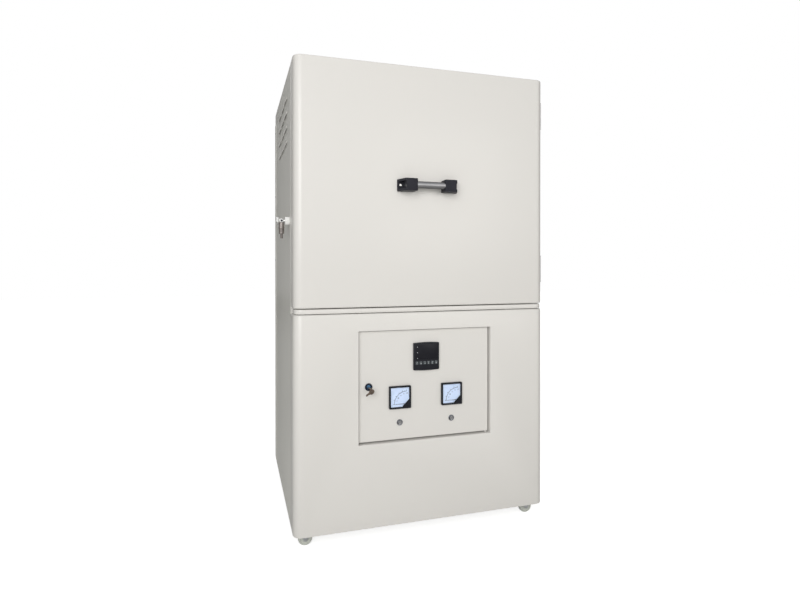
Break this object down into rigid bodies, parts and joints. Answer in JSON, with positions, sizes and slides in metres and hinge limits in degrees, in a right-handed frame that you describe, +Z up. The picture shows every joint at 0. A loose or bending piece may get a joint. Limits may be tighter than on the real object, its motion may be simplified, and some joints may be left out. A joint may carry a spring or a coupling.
{
  "type": "muffle furnace",
  "caption": "Floor-standing box muffle furnace with a side-hung insulated door, a control door with meters and buttons, a rod-heated chamber and swivel casters.",
  "frame": {"origin": "on the floor under the middle of the cabinet", "axes": "+Z up, +X to the right of someone facing the door, the door faces -Y"},
  "size_m": [1.0112, 0.878, 1.6645],
  "materials": {
    "enamel": "warm off-white powder coat, semi-gloss",
    "pan_steel": "grey painted steel",
    "galvanised": "galvanised steel sheet",
    "fibre_board": "ceramic-fibre board, matte",
    "hearth_ceramic": "sintered alumina plate, matte",
    "element_rod": "molybdenum disilicide rod, dark grey",
    "probe_ceramic": "alumina sheath",
    "rope_seal": "woven glass-fibre rope",
    "bracket_black": "black moulded plastic",
    "tube_alloy": "brushed aluminium",
    "hinge_steel": "turned steel",
    "instrument_black": "black moulded plastic",
    "key_grey": "moulded rubber keys",
    "meter_case": "black case with a pale dial",
    "needle_black": "painted aluminium",
    "button_metal": "polished metal",
    "lock_chrome": "chromed zinc",
    "key_metal": "nickel-worn brass key",
    "valve_metal": "nickel-plated brass",
    "fan_plastic": "black moulded plastic",
    "gland_plastic": "black nylon",
    "core_steel": "varnished transformer steel",
    "sink_alloy": "extruded aluminium",
    "fork_zinc": "zinc-plated pressed steel",
    "wheel_pale": "pale nylon wheel"
  },
  "bodies": {
    "cabinet": {"base_pan": "pan_steel", "lower_front_panel": "enamel", "side_panel_left": "enamel", "side_panel_right": "enamel", "top_panel": "enamel", "rear_panel": "enamel", "mid_deck": "galvanised", "mouth_frame": "enamel", "furnace_shell": "galvanised", "insulation_floor": "fibre_board", "insulation_roof": "fibre_board", "insulation_walls": "fibre_board", "hearth_plate": "hearth_ceramic", "heater_left": "element_rod", "heater_right": "element_rod", "thermocouple": "probe_ceramic", "door_hinge_lower": "hinge_steel", "door_hinge_upper": "hinge_steel", "gas_valve": "valve_metal", "fan_housing": "fan_plastic", "cable_gland": "gland_plastic", "transformer": "core_steel", "power_controller": "sink_alloy"},
    "furnace_door": {"door_skin": "enamel", "door_back_plate": "galvanised", "door_plug": "fibre_board", "door_seal": "rope_seal", "handle_bracket_left": "bracket_black", "handle_bracket_right": "bracket_black", "handle_tube": "tube_alloy", "door_hinge_arm_lower": "hinge_steel", "door_hinge_arm_upper": "hinge_steel"},
    "control_door": {"control_door": "enamel", "controller": "instrument_black", "ammeter": "meter_case", "voltmeter": "meter_case", "button_bezel_left": "button_metal", "button_bezel_right": "button_metal", "door_lock": "lock_chrome"},
    "lock_plug": {"lock_plug": "key_metal"},
    "gas_valve_knob": {"gas_valve_knob": "valve_metal"},
    "fan_rotor": {"fan_rotor": "fan_plastic"},
    "controller_key_1": {"controller_key_1": "key_grey"},
    "controller_key_2": {"controller_key_2": "key_grey"},
    "controller_key_3": {"controller_key_3": "key_grey"},
    "controller_key_4": {"controller_key_4": "key_grey"},
    "controller_key_5": {"controller_key_5": "key_grey"},
    "controller_key_6": {"controller_key_6": "key_grey"},
    "ammeter_needle": {"ammeter_needle": "needle_black"},
    "voltmeter_needle": {"voltmeter_needle": "needle_black"},
    "push_button_left": {"push_button_left": "button_metal"},
    "push_button_right": {"push_button_right": "button_metal"},
    "caster_fork_front_left": {"caster_fork_front_left": "fork_zinc"},
    "caster_wheel_front_left": {"caster_wheel_front_left": "wheel_pale"},
    "caster_fork_front_right": {"caster_fork_front_right": "fork_zinc"},
    "caster_wheel_front_right": {"caster_wheel_front_right": "wheel_pale"},
    "caster_fork_rear_left": {"caster_fork_rear_left": "fork_zinc"},
    "caster_wheel_rear_left": {"caster_wheel_rear_left": "wheel_pale"},
    "caster_fork_rear_right": {"caster_fork_rear_right": "fork_zinc"},
    "caster_wheel_rear_right": {"caster_wheel_rear_right": "wheel_pale"}
  },
  "joints": [
    {"name": "furnace_door_hinge", "type": "hinge", "parent": "cabinet", "child": "furnace_door", "pos_m": [0.485, -0.301, 1.2405], "axis": [0, 0, 1], "range_deg": [0, 120]},
    {"name": "control_door_hinge", "type": "hinge", "parent": "cabinet", "child": "control_door", "pos_m": [0.2375, -0.374, 0.538], "axis": [0, 0, 1], "range_deg": [0, 95]},
    {"name": "lock_turn", "type": "hinge", "parent": "control_door", "child": "lock_plug", "pos_m": [-0.211, -0.38, 0.538], "axis": [0, 1, 0], "range_deg": [0, 90]},
    {"name": "gas_valve_turn", "type": "hinge", "parent": "cabinet", "child": "gas_valve_knob", "pos_m": [-0.50723, -0.263, 1.118], "axis": [-1, 0, 0], "range_deg": [0, 270]},
    {"name": "fan_spin", "type": "hinge", "parent": "cabinet", "child": "fan_rotor", "pos_m": [0, 0.414, 0.42], "axis": [0, 1, 0], "continuous": true},
    {"name": "controller_key_1_press", "type": "slide", "parent": "control_door", "child": "controller_key_1", "axis": [0, 1, 0], "range_m": [0, 0.0008], "stiffness_N_per_m": 300},
    {"name": "controller_key_2_press", "type": "slide", "parent": "control_door", "child": "controller_key_2", "axis": [0, 1, 0], "range_m": [0, 0.0008], "stiffness_N_per_m": 300},
    {"name": "controller_key_3_press", "type": "slide", "parent": "control_door", "child": "controller_key_3", "axis": [0, 1, 0], "range_m": [0, 0.0008], "stiffness_N_per_m": 300},
    {"name": "controller_key_4_press", "type": "slide", "parent": "control_door", "child": "controller_key_4", "axis": [0, 1, 0], "range_m": [0, 0.0008], "stiffness_N_per_m": 300},
    {"name": "controller_key_5_press", "type": "slide", "parent": "control_door", "child": "controller_key_5", "axis": [0, 1, 0], "range_m": [0, 0.0008], "stiffness_N_per_m": 300},
    {"name": "controller_key_6_press", "type": "slide", "parent": "control_door", "child": "controller_key_6", "axis": [0, 1, 0], "range_m": [0, 0.0008], "stiffness_N_per_m": 300},
    {"name": "ammeter_needle_swing", "type": "hinge", "parent": "control_door", "child": "ammeter_needle", "pos_m": [-0.074, -0.384, 0.4715], "axis": [0, 1, 0], "range_deg": [0, 90], "stiffness_Nm_per_rad": 0.002},
    {"name": "voltmeter_needle_swing", "type": "hinge", "parent": "control_door", "child": "voltmeter_needle", "pos_m": [0.122, -0.384, 0.4715], "axis": [0, 1, 0], "range_deg": [0, 90], "stiffness_Nm_per_rad": 0.002},
    {"name": "push_button_left_press", "type": "slide", "parent": "control_door", "child": "push_button_left", "axis": [0, 1, 0], "range_m": [0, 0.0025], "stiffness_N_per_m": 600},
    {"name": "push_button_right_press", "type": "slide", "parent": "control_door", "child": "push_button_right", "axis": [0, 1, 0], "range_m": [0, 0.0025], "stiffness_N_per_m": 600},
    {"name": "caster_front_left_swivel", "type": "hinge", "parent": "cabinet", "child": "caster_fork_front_left", "pos_m": [-0.411, -0.335, 0.062], "axis": [0, 0, 1], "continuous": true},
    {"name": "caster_front_left_roll", "type": "hinge", "parent": "caster_fork_front_left", "child": "caster_wheel_front_left", "pos_m": [-0.425, -0.335, 0.025], "axis": [0, 1, 0], "continuous": true},
    {"name": "caster_front_right_swivel", "type": "hinge", "parent": "cabinet", "child": "caster_fork_front_right", "pos_m": [0.411, -0.335, 0.062], "axis": [0, 0, 1], "continuous": true},
    {"name": "caster_front_right_roll", "type": "hinge", "parent": "caster_fork_front_right", "child": "caster_wheel_front_right", "pos_m": [0.425, -0.335, 0.025], "axis": [0, 1, 0], "continuous": true},
    {"name": "caster_rear_left_swivel", "type": "hinge", "parent": "cabinet", "child": "caster_fork_rear_left", "pos_m": [-0.411, 0.335, 0.062], "axis": [0, 0, 1], "continuous": true},
    {"name": "caster_rear_left_roll", "type": "hinge", "parent": "caster_fork_rear_left", "child": "caster_wheel_rear_left", "pos_m": [-0.425, 0.335, 0.025], "axis": [0, 1, 0], "continuous": true},
    {"name": "caster_rear_right_swivel", "type": "hinge", "parent": "cabinet", "child": "caster_fork_rear_right", "pos_m": [0.411, 0.335, 0.062], "axis": [0, 0, 1], "continuous": true},
    {"name": "caster_rear_right_roll", "type": "hinge", "parent": "caster_fork_rear_right", "child": "caster_wheel_rear_right", "pos_m": [0.425, 0.335, 0.025], "axis": [0, 1, 0], "continuous": true}
  ]
}
